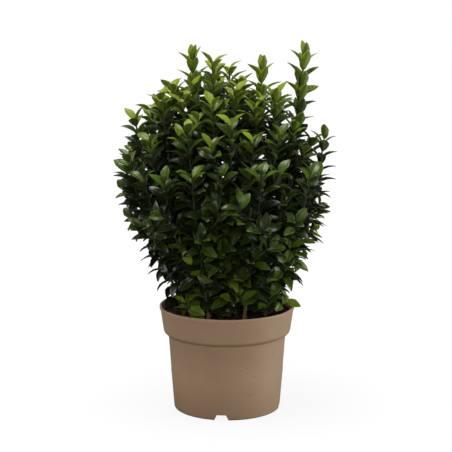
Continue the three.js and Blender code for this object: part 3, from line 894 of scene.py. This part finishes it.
# %% [markdown]
# ## One leaf
#
# A leaf is a pointed ellipse, folded a little along its midrib and arched back to its tip, with a
# paler rib and a margin that catches the light, painted a paler tone as a highlight. A flat card with
# a picture on it would be lighter, but it looks like paper from the side. So each leaf is a thin
# closed blade of a few dozen faces, in five degrees of arch, and a face attribute says which tone it
# takes.

# %% Blade outline
LEAF_WIDTH = 14 * MM
STALK_SHARE, STALK_BREADTH = 0.07, 0.07  # of the leaf's length, and of the blade's breadth
WIDEST, FULLNESS = 0.98, 0.86  # powers: where the blade is widest, and how full its ends are


def half_width(share):
    blade = max(0.0, (share - STALK_SHARE) / (1 - STALK_SHARE))
    wide = math.sin(math.pi * blade**WIDEST) ** FULLNESS if 0 < blade < 1 else 0
    return LEAF_WIDTH / 2 * max(wide, STALK_BREADTH)


print(f"half way along a blade is {2000 * half_width(0.5):.1f} mm wide")

# %% Leaf shapes
LEAF_THICKNESS = 0.45 * MM
STALK_SUNK = 0.6 * MM
STATIONS = (0.09, 0.24, 0.42, 0.62, 0.81, 0.94)
ACROSS = (-1, -0.9, -0.46, -0.055, 0.055, 0.46, 0.9, 1)
BLADE, RIB_AND_MARGIN_HIGHLIGHT, UNDERSIDE = 0, 1, 2
RIB_AND_HIGHLIGHT_COLUMNS = (0, 3, 6)  # the midrib, and both margins as a painted highlight
FOLD_YOUNG, FOLD_OLD = 32, 27
FOLD_FOOT, FOLD_FADE = 1.15, 0.6  # the fold is strongest at the stalk
CURL = 0.16  # how far the margins turn back down, as a share of the half width
TOOTH = 0.035  # the margin's teeth, as a share of the half width
BEND_STEPS, BEND_POWER = 60, 1.4


def leaf_mesh(number, arch_degrees):
    """A blade along +X, rings of points over its face and under its keel, bent down to its tip."""
    steps = np.linspace(0, 1, BEND_STEPS + 1)
    bend = -math.radians(arch_degrees) * steps**BEND_POWER
    reach = np.concatenate([[0], np.cumsum(np.cos(bend[:-1]) / BEND_STEPS)]) * LEAF_LENGTH
    drop = np.concatenate([[0], np.cumsum(np.sin(bend[:-1]) / BEND_STEPS)]) * LEAF_LENGTH

    def spine(share):
        angle = np.interp(share, steps, bend)
        centre = np.array([np.interp(share, steps, reach), 0, np.interp(share, steps, drop)])
        return centre, np.array([-math.sin(angle), 0, math.cos(angle)])

    youth = 1 - number / (len(ARCHES) - 1)
    points, faces, parts = [], [], []
    for row, share in enumerate(STATIONS):
        centre, normal = spine(share)
        fold = math.radians(FOLD_OLD + (FOLD_YOUNG - FOLD_OLD) * youth) * (FOLD_FOOT - FOLD_FADE * share)
        half = half_width(share)
        for place in ACROSS:
            tooth = 1 + TOOTH * (1 if row % 2 else -1) if abs(place) == 1 else 1
            lift = half * (abs(place) * math.tan(fold) - CURL * place**2)
            points.append(centre + (0, half * place * tooth, 0) + normal * lift)
        points.append(centre - normal * LEAF_THICKNESS)
    points += [np.array([-STALK_SUNK, 0, 0]), spine(1)[0]]

    around, base, tip = len(ACROSS) + 1, len(points) - 2, len(points) - 1
    last = base - around
    for i in range(around):
        j = (i + 1) % around
        under = i >= len(ACROSS) - 1
        faces.append((base, i, j))
        for low in range(0, last, around):
            quad = (low + i, low + around + i, low + around + j, low + j)
            faces.append(quad[under:] + quad[:under])  # below, it is split along its other diagonal
        faces.append((last + i, tip, last + j))
        # the margins take the rib's paler tone as a painted highlight
        parts += [UNDERSIDE if under else RIB_AND_MARGIN_HIGHLIGHT if i in RIB_AND_HIGHLIGHT_COLUMNS else BLADE] * (len(STATIONS) + 1)

    mesh = bpy.data.meshes.new(f"leaf_{number}")
    mesh.from_pydata([tuple(p) for p in points], [], faces)
    mesh.attributes.new("part", "INT", "FACE").data.foreach_set("value", parts)
    mesh.polygons.foreach_set("use_smooth", [True] * len(faces))
    return mesh


leaf_shapes = bpy.data.collections.new("leaf_shapes")
for number, arch_degrees in enumerate(ARCHES):
    shape = bpy.data.objects.new(f"leaf_{number}", leaf_mesh(number, arch_degrees))
    leaf_shapes.objects.link(shape)
print(f"{len(ARCHES)} leaf shapes of {len(shape.data.polygons)} faces")

# %% [markdown]
# ## Leaf colours
#
# Young leaves at the buds are yellow-green and old ones deep green with a bluish gloss. The same
# tints also stand for painted shade deep in the crown and painted light low at the sides. The tone
# changes from leaf to leaf and hardly within one, so each tint is three plain colours: blade, rib
# (whose paler tone also marks the margins as a painted highlight) and underside. A painted pattern
# would hardly show at this size, and plain colours stay sharp.

# %% Leaf materials
# each tint: blade, rib (also the margins' painted highlight) and underside
LEAF_TONES = {
    "young": ((92, 109, 18), (116, 132, 46), (98, 115, 30)),
    "fresh": ((71, 89, 16), (97, 114, 40), (84, 102, 28)),
    "mid": ((49, 67, 13), (77, 95, 34), (69, 86, 25)),
    "dark": ((30, 43, 11), (50, 65, 25), (49, 63, 21)),
    "deep": ((18, 27, 8), (32, 43, 16), (31, 41, 15)),
}
LEAF_ROUGHNESS = {"young": 0.46, "fresh": 0.42, "mid": 0.36, "dark": 0.32, "deep": 0.32}
UNDERSIDE_ROUGHNESS = 0.55
LEAF_SHEEN = 0.24
PARTS = ("blade", "rib", "underside")

leaf_materials = {}
for tint, tones in LEAF_TONES.items():
    for part, tone in zip(PARTS, tones):
        roughness = UNDERSIDE_ROUGHNESS if part == "underside" else LEAF_ROUGHNESS[tint]
        material, shader = principled(f"leaf_{tint}_{part}", roughness, LEAF_SHEEN)
        shader.inputs["Base Color"].default_value = colour(*tone)
        leaf_materials[tint, part] = material
print(f"{len(leaf_materials)} leaf materials")

# %% Leaf tree
materials = {f"{part} material": "Material" for part in PARTS}
sprays, given, made = geometry_tree("Leaf sprays", {"Shapes": "Collection", **materials})
values = {"Collection": given["Shapes"], "Separate Children": True, "Reset Children": True}
shapes = add(sprays, "GeometryNodeCollectionInfo", values)
placed = add(
    sprays,
    "GeometryNodeInstanceOnPoints",
    {
        "Points": given["Geometry"],
        "Instance": shapes,
        "Pick Instance": True,
        "Instance Index": attribute(sprays, "shape", "INT"),
        "Rotation": attribute(sprays, "turned", "QUATERNION"),
        "Scale": attribute(sprays, "size", "FLOAT_VECTOR"),
    },
)
flow = add(sprays, "GeometryNodeRealizeInstances", {"Geometry": placed})
which = attribute(sprays, "part", "INT")
for number, part in enumerate(PARTS):
    values = {"A": which, "B": number}
    chosen = add(sprays, "FunctionNodeCompare", values, data_type="INT", operation="EQUAL")
    values = {"Geometry": flow, "Selection": chosen, "Material": given[f"{part} material"]}
    flow = add(sprays, "GeometryNodeSetMaterial", values)
connect(sprays, made, {"Geometry": flow})
print(f"tree {sprays.name}: {len(sprays.nodes)} nodes")

# %% Leaves
LEAVES_PER_PIECE = 1700
foliage_nodes = [f"foliage_{shoot}" for shoot in SHOOTS]


def spray_points(name, group):
    """The leaves of one tint as points, with what the tree reads from each."""
    mesh = bpy.data.meshes.new(name)
    mesh.from_pydata([tuple(leaf.root) for leaf in group], [], [])
    size = np.array([(leaf.size, leaf.size * leaf.slimness, leaf.size) for leaf in group])
    turned = np.array([list(leaf.turned) for leaf in group])
    shape = [leaf.arch for leaf in group]
    mesh.attributes.new("size", "FLOAT_VECTOR", "POINT").data.foreach_set("vector", size.ravel())
    mesh.attributes.new("turned", "QUATERNION", "POINT").data.foreach_set("value", turned.ravel())
    mesh.attributes.new("shape", "INT", "POINT").data.foreach_set("value", shape)
    return mesh


for number, tint in enumerate(TINTS):
    group = [leaf for leaf in leaves if leaf.tint == number]
    values = {f"{part} material": leaf_materials[tint, part] for part in PARTS}
    for first in range(0, len(group), LEAVES_PER_PIECE):
        name = f"leaves_{tint}_{first // LEAVES_PER_PIECE + 1}"
        seeds = spray_points(name, group[first:first + LEAVES_PER_PIECE])
        dress(grown(name, seeds, sprays, {"Shapes": leaf_shapes, **values}), "leaf", *foliage_nodes)
for shape in list(leaf_shapes.objects):
    bpy.data.objects.remove(shape)
bpy.data.collections.remove(leaf_shapes)

# %% [markdown]
# ## Stems and twigs
#
# A shoot is brown and rough where it leaves the soil, and green and smooth where it carries leaves.
# Both are round limbs that taper along a curve, so one tree serves them: it sweeps a ring along each
# line, by the thickness stored on the line, and pushes the skin out and in with a noise. The bark's
# noise is drawn out along the stem, as its ridges are.

# %% Limb tree
limb, given, made = geometry_tree(
    "Limb", {"Sides": 8, "Relief": 0.0, "Grain": (900.0, 900.0, 160.0), "Material": "Material"}
)
line = add(limb, "GeometryNodeMeshToCurve", {"Mesh": given["Geometry"]})
values = {"Resolution": given["Sides"], "Radius": 1.0}
ring = add(limb, "GeometryNodeCurvePrimitiveCircle", values)
thickness = attribute(limb, "thickness", "FLOAT")
values = {"Curve": line, "Profile Curve": ring, "Scale": thickness, "Fill Caps": True}
swept = add(limb, "GeometryNodeCurveToMesh", values)
where = add(limb, "GeometryNodeInputPosition")
scaled = add(limb, "ShaderNodeVectorMath", {0: where, 1: given["Grain"]}, operation="MULTIPLY")
grain = add(limb, "ShaderNodeTexNoise", {"Vector": scaled, "Scale": 1.0, "Detail": 3.0})
depth = calc(limb, "MULTIPLY", calc(limb, "SUBTRACT", grain, 0.5), given["Relief"])
normal = add(limb, "GeometryNodeInputNormal")
push = add(limb, "ShaderNodeVectorMath", {0: normal, "Scale": depth}, operation="SCALE")
rough = add(limb, "GeometryNodeSetPosition", {"Geometry": swept, "Offset": push})
end_tree(limb, add(limb, "GeometryNodeSetShadeSmooth", {"Geometry": rough}), given, made)

# %% Limb lines
FOOT_RADIUS = 2.2 * MM
FLARE, FLARE_HEIGHT = 1.35, 7 * MM
TIP_RADIUS = {0: 1.2 * MM, 1: 0.9 * MM, 2: 0.7 * MM}  # by order of branching
SIDE_RADIUS = {1: 1.3 * MM, 2: 0.9 * MM}


def radius_at(axis, distance):
    share = distance / axis.length
    if axis.order:
        return SIDE_RADIUS[axis.order] * (1 - share) + TIP_RADIUS[axis.order] * share
    flare = (FLARE - 1) * math.exp(-distance / FLARE_HEIGHT)
    taper = FOOT_RADIUS * (1 - share) + TIP_RADIUS[0] * share
    return taper * (1 + flare)


def limb_lines(name, stretches):
    """Chains of points with a thickness, one for each (axis, from, to, step)."""
    points, edges, thickness = [], [], []
    for axis, begin, finish, step in stretches:
        count = max(2, round((finish - begin) / step))
        first = len(points)
        for i in range(count + 1):
            distance = begin + (finish - begin) * i / count
            points.append(tuple(axis.point(distance)))
            thickness.append(radius_at(axis, distance))
        edges += [(first + i, first + i + 1) for i in range(count)]
    mesh = bpy.data.meshes.new(name)
    mesh.from_pydata(points, edges, [])
    mesh.attributes.new("thickness", "FLOAT", "POINT").data.foreach_set("value", thickness)
    return mesh


# %% Stems and twigs
BARK_TOP = {"front_low_right": 40 * MM, "right_low": 24 * MM}  # how far up from the soil it is brown
BARK_ELSE = 12 * MM
STEM_STEP, TWIG_STEP = 2.5 * MM, 7 * MM


bark = mottled("bark", (118, 92, 62), (62, 45, 28), 420, 2.4, 0.85, 0.4 * MM, (1, 1, 0.25))
green_bark = mottled("green_twig", (40, 47, 18), (25, 31, 12), 300, 2.0, 0.55, 0.1 * MM, (1, 1, 0.3))
stems = [(axis, 0, BARK_TOP.get(axis.shoot, BARK_ELSE), STEM_STEP) for axis in mains]
twigs = [(axis, end, axis.length, TWIG_STEP) for axis, _, end, _ in stems]
twigs += [(axis, 0, axis.length, TWIG_STEP) for axis in sides + fines + lows]
stem_nodes = [f"stem_{shoot}" for shoot in SHOOTS]
# the lines of each piece, sides, depth of the noise and how it is drawn out, material, slot, CAD nodes
LIMBS = {
    "stems": (stems, 14, 0.9 * MM, (900.0, 900.0, 150.0), bark, "bark", stem_nodes),
    "twigs": (twigs, 6, 0.2 * MM, (600.0, 600.0, 200.0), green_bark, "leaf", foliage_nodes),
}
for name, (stretches, facets, relief, drawn_out, material, slot, nodes) in LIMBS.items():
    values = {"Sides": facets, "Relief": relief, "Grain": drawn_out, "Material": material}
    dress(grown(name, limb_lines(name, stretches), limb, values), slot, *nodes)

# %% [markdown]
# ## Pot
#
# The pot is a moulded plastic shell, round but for four drain notches in its foot. A shape like that
# is turned: an outline is swept round the axis, with arcs where the mould is rounded, and the notches
# are cut out of it with their little housings left inside. The solid has 44 sides. This one has
# enough for a smooth edge, a finer lip and the faint ring half way up the wall.

# %% Turned shapes
POT_SIDES = 176


def arc(radius, height, size, begin, finish, steps):
    """Points of a rounding about (radius, height), from one angle to another."""
    angles = np.radians(np.linspace(begin, finish, steps + 1))
    return [(radius + size * math.cos(a), height + size * math.sin(a)) for a in angles]


def turned_mesh(name, outline, sides):
    """An outline of (radius, height) turned round the axis; a radius of 0 is a pole."""
    points, faces, rings = [], [], []
    for radius, height in outline:
        around = sides if radius > 0 else 1
        rings.append(range(len(points), len(points) + around))
        for i in range(around):
            angle = 2 * math.pi * i / sides
            points.append((radius * math.cos(angle), radius * math.sin(angle), height))
    for low, high in zip(rings, rings[1:]):
        for i in range(sides):
            j = (i + 1) % sides
            face = [low[i % len(low)], low[j % len(low)], high[j % len(high)], high[i % len(high)]]
            face = list(dict.fromkeys(face))
            if len(face) > 2:
                faces.append(face)
    mesh = bpy.data.meshes.new(name)
    mesh.from_pydata(points, [], faces)
    return mesh


# %% Pot outline
BAND_FOOT_RADIUS, BAND_HEIGHT, BAND_ROUNDING = 89.7 * MM, 40 * MM, 7 * MM
POT_FOOT_RADIUS, FOOT_ROUNDING = 75 * MM, 3 * MM
WALL, POT_FLOOR = 2 * MM, 2.6 * MM
LIP_HEIGHT, LIP_PROUD, LIP_SLOPE, LIP_ROUNDING = 4 * MM, 1 * MM, 0.4 * MM, 0.8 * MM
RING_HEIGHT, RING_STEP, RING_SLOPE = 57 * MM, 0.25 * MM, 0.4 * MM

wall_top = RIM_TOP - BAND_HEIGHT
wall_top_radius = BAND_FOOT_RADIUS - BAND_ROUNDING
ring_radius = POT_FOOT_RADIUS + (wall_top_radius - POT_FOOT_RADIUS) * RING_HEIGHT / wall_top
lip_foot = RIM_TOP - LIP_HEIGHT
outer = [
    (0, 0),
    *arc(POT_FOOT_RADIUS - FOOT_ROUNDING, FOOT_ROUNDING, FOOT_ROUNDING, -90, 0, 8),
    (ring_radius + RING_STEP, RING_HEIGHT - RING_SLOPE),
    (ring_radius, RING_HEIGHT + RING_SLOPE),
    *arc(wall_top_radius, wall_top + BAND_ROUNDING, BAND_ROUNDING, -90, 0, 10),
    (RIM_RADIUS - LIP_PROUD, lip_foot),
    (RIM_RADIUS, lip_foot + LIP_SLOPE),
    *arc(RIM_RADIUS - LIP_ROUNDING, RIM_TOP - LIP_ROUNDING, LIP_ROUNDING, 0, 90, 5),
]
inner = [
    *arc(RIM_RADIUS - WALL, RIM_TOP - LIP_ROUNDING, LIP_ROUNDING, 90, 180, 4),
    (BAND_FOOT_RADIUS - WALL, wall_top + BAND_ROUNDING + WALL),
    (wall_top_radius - WALL, wall_top + WALL),
    (POT_FOOT_RADIUS - WALL, POT_FLOOR),
    (0, POT_FLOOR),
]
print(f"pot outline: {len(outer) + len(inner)} points")

# %% Drain notches
NOTCH_FOOT, NOTCH_TOP = 20.5 * MM, 12.8 * MM
NOTCH_HEIGHT, NOTCH_DEPTH, NOTCH_OVER = 8 * MM, 46 * MM, 6 * MM


def notch_mesh(name, azimuth, grown_by, over):
    """A wedge-sided block that points outwards at the foot."""
    slope = (NOTCH_FOOT - NOTCH_TOP) / 2 / NOTCH_HEIGHT
    top = NOTCH_HEIGHT + grown_by
    foot_half = NOTCH_FOOT / 2 + grown_by + slope * grown_by
    top_half = foot_half - slope * (top + grown_by)
    section = [(-foot_half, -grown_by), (foot_half, -grown_by), (top_half, top), (-top_half, top)]
    inside = POT_FOOT_RADIUS - NOTCH_DEPTH - grown_by
    outside = POT_FOOT_RADIUS + over
    points = [(x, -reach, z) for reach in (outside, inside) for x, z in section]
    faces = [(0, 1, 2, 3), (7, 6, 5, 4), (0, 4, 5, 1), (1, 5, 6, 2), (2, 6, 7, 3), (3, 7, 4, 0)]
    mesh = bpy.data.meshes.new(name)
    mesh.from_pydata(points, [], faces)
    mesh.transform(Matrix.Rotation(math.radians(azimuth + 90), 4, "Z"))
    return mesh


def combined(mesh, other, operation):
    """One mesh joined to, cut by or kept inside another."""
    piece, tool = linked_piece("piece", mesh), linked_piece("tool", other)
    modifier = piece.modifiers.new("cut", "BOOLEAN")
    modifier.operation, modifier.object, modifier.solver = operation, tool, "MANIFOLD"
    result = evaluated_mesh(piece)
    for used in (piece, tool):
        bpy.data.objects.remove(used)
    return result


# %% Pot with drain notches
NOTCHES = 4
NOTCH_FIRST = -96
SHARP_FROM = math.radians(32)


filled = turned_mesh("filled", [*outer, (0, RIM_TOP)], POT_SIDES)
pot_mesh = turned_mesh("pot_shell", [*outer, *inner], POT_SIDES)
for i in range(NOTCHES):
    azimuth = NOTCH_FIRST + 360 * i / NOTCHES
    housing = combined(notch_mesh("housing", azimuth, WALL, 0), filled, "INTERSECT")
    pot_mesh = combined(pot_mesh, housing, "UNION")
    pot_mesh = combined(pot_mesh, notch_mesh("notch", azimuth, 0, NOTCH_OVER), "DIFFERENCE")
pot_mesh.polygons.foreach_set("use_smooth", [True] * len(pot_mesh.polygons))
pot_mesh.set_sharp_from_angle(angle=SHARP_FROM)
pot_piece = linked_piece("pot_shell", pot_mesh)
plastic = mottled(
    "taupe_plastic", (164, 136, 110), (154, 127, 102), 34, 1.6, 0.6, 0.05 * MM, sheen=0.2
)
speckle(plastic, (112, 88, 68), 60, 0.05)
pot_mesh.materials.clear()
pot_mesh.materials.append(plastic)
dress(pot_piece, "pot_plastic", "pot")
print(f"pot: {triangles(pot_piece)} triangles")

# %% [markdown]
# ## Peat
#
# The soil is dark crumbly peat, a little lower at the wall. Its top could be a disc with a bumpy
# material, but the crumbs show against the pale rim. So the top is pushed up and down by a noise,
# and loose crumbs are scattered over it by a tree that turns and sizes one lump at random.

# %% Peat tree
WHOLE_TURN = 6.3  # in radians, near enough for a crumb
# how deep the noise is, crumbs to the square metre, their size, and the seed of their places
values = {"Relief": 3 * MM, "Density": 70000.0, "Crumb": 1.6 * MM, "Seed": SEED, "Material": "Material"}
bed, given, made = geometry_tree("Peat", values)
seed = given["Seed"]


def chance(low, high):
    values = {"Min": low, "Max": high, "Seed": seed}
    return add(bed, "FunctionNodeRandomValue", values, data_type="FLOAT_VECTOR")


top_only = attribute(bed, "loose", "FLOAT")
where = add(bed, "GeometryNodeInputPosition")
bumps = add(bed, "ShaderNodeTexNoise", {"Vector": where, "Scale": 130.0, "Detail": 4.0})
height = calc(bed, "MULTIPLY", calc(bed, "SUBTRACT", bumps, 0.6), given["Relief"])
lift = add(bed, "ShaderNodeCombineXYZ", {"Z": calc(bed, "MULTIPLY", height, top_only)})
ground = add(bed, "GeometryNodeSetPosition", {"Geometry": given["Geometry"], "Offset": lift})
on_top = add(bed, "FunctionNodeCompare", {"A": top_only, "B": 0.9}, operation="GREATER_THAN")
values = {"Mesh": ground, "Selection": on_top, "Density": given["Density"], "Seed": seed}
spots = add(bed, "GeometryNodeDistributePointsOnFaces", values)
lump = add(bed, "GeometryNodeMeshIcoSphere", {"Radius": given["Crumb"], "Subdivisions": 1})
turning = add(bed, "FunctionNodeEulerToRotation", {"Euler": chance((0,) * 3, (WHOLE_TURN,) * 3)})
sizes = chance((0.35, 0.35, 0.25), (1.3, 0.9, 0.7))
values = {"Points": spots, "Instance": lump, "Rotation": turning, "Scale": sizes}
both = add(bed, "GeometryNodeJoinGeometry")
connect(bed, both, {0: add(bed, "GeometryNodeInstanceOnPoints", values)})
connect(bed, both, {0: ground})
end_tree(bed, both, given, made)

# %% Peat
PEAT_GAP = 0.3 * MM
PEAT_RINGS = 30
PEAT_SIDES = 120
EDGE_DROP, EDGE_STEEP = 1.5 * MM, 6  # it sinks this much at the wall, over a sixth of its radius
EDGE_FIXED = 0.1 * MM
PEAT_DEEP, PEAT_TAPER = 20 * MM, 4 * MM  # only the top of the fill is made

band_slope = (RIM_RADIUS - BAND_FOOT_RADIUS) / (BAND_HEIGHT - BAND_ROUNDING)
fill_radius = BAND_FOOT_RADIUS + band_slope * (SOIL_TOP - wall_top - BAND_ROUNDING) - WALL - PEAT_GAP
spokes = np.linspace(1, 0, PEAT_RINGS + 1)
fill = [(0, SOIL_TOP - PEAT_DEEP), (fill_radius - PEAT_TAPER, SOIL_TOP - PEAT_DEEP)]
fill += [(fill_radius * s, SOIL_TOP - EDGE_DROP * max(0, 1 - EDGE_STEEP * (1 - s))) for s in spokes]
peat_mesh = turned_mesh("peat", fill, PEAT_SIDES)
x, y, z = np.array([v.co for v in peat_mesh.vertices]).T
loose = ((z > SOIL_TOP - PEAT_DEEP / 2) & (np.hypot(x, y) < fill_radius - EDGE_FIXED)).astype(float)
peat_mesh.attributes.new("loose", "FLOAT", "POINT").data.foreach_set("value", loose)
peat = mottled("peat", (52, 38, 27), (16, 11, 7), 260, 3.0, 0.95, 0.6 * MM, sheen=0.1)
speckle(peat, (128, 116, 92), 170, 0.12)
peat_piece = grown("peat_fill", peat_mesh, bed, {"Material": peat})
dress(peat_piece, "peat", "soil")
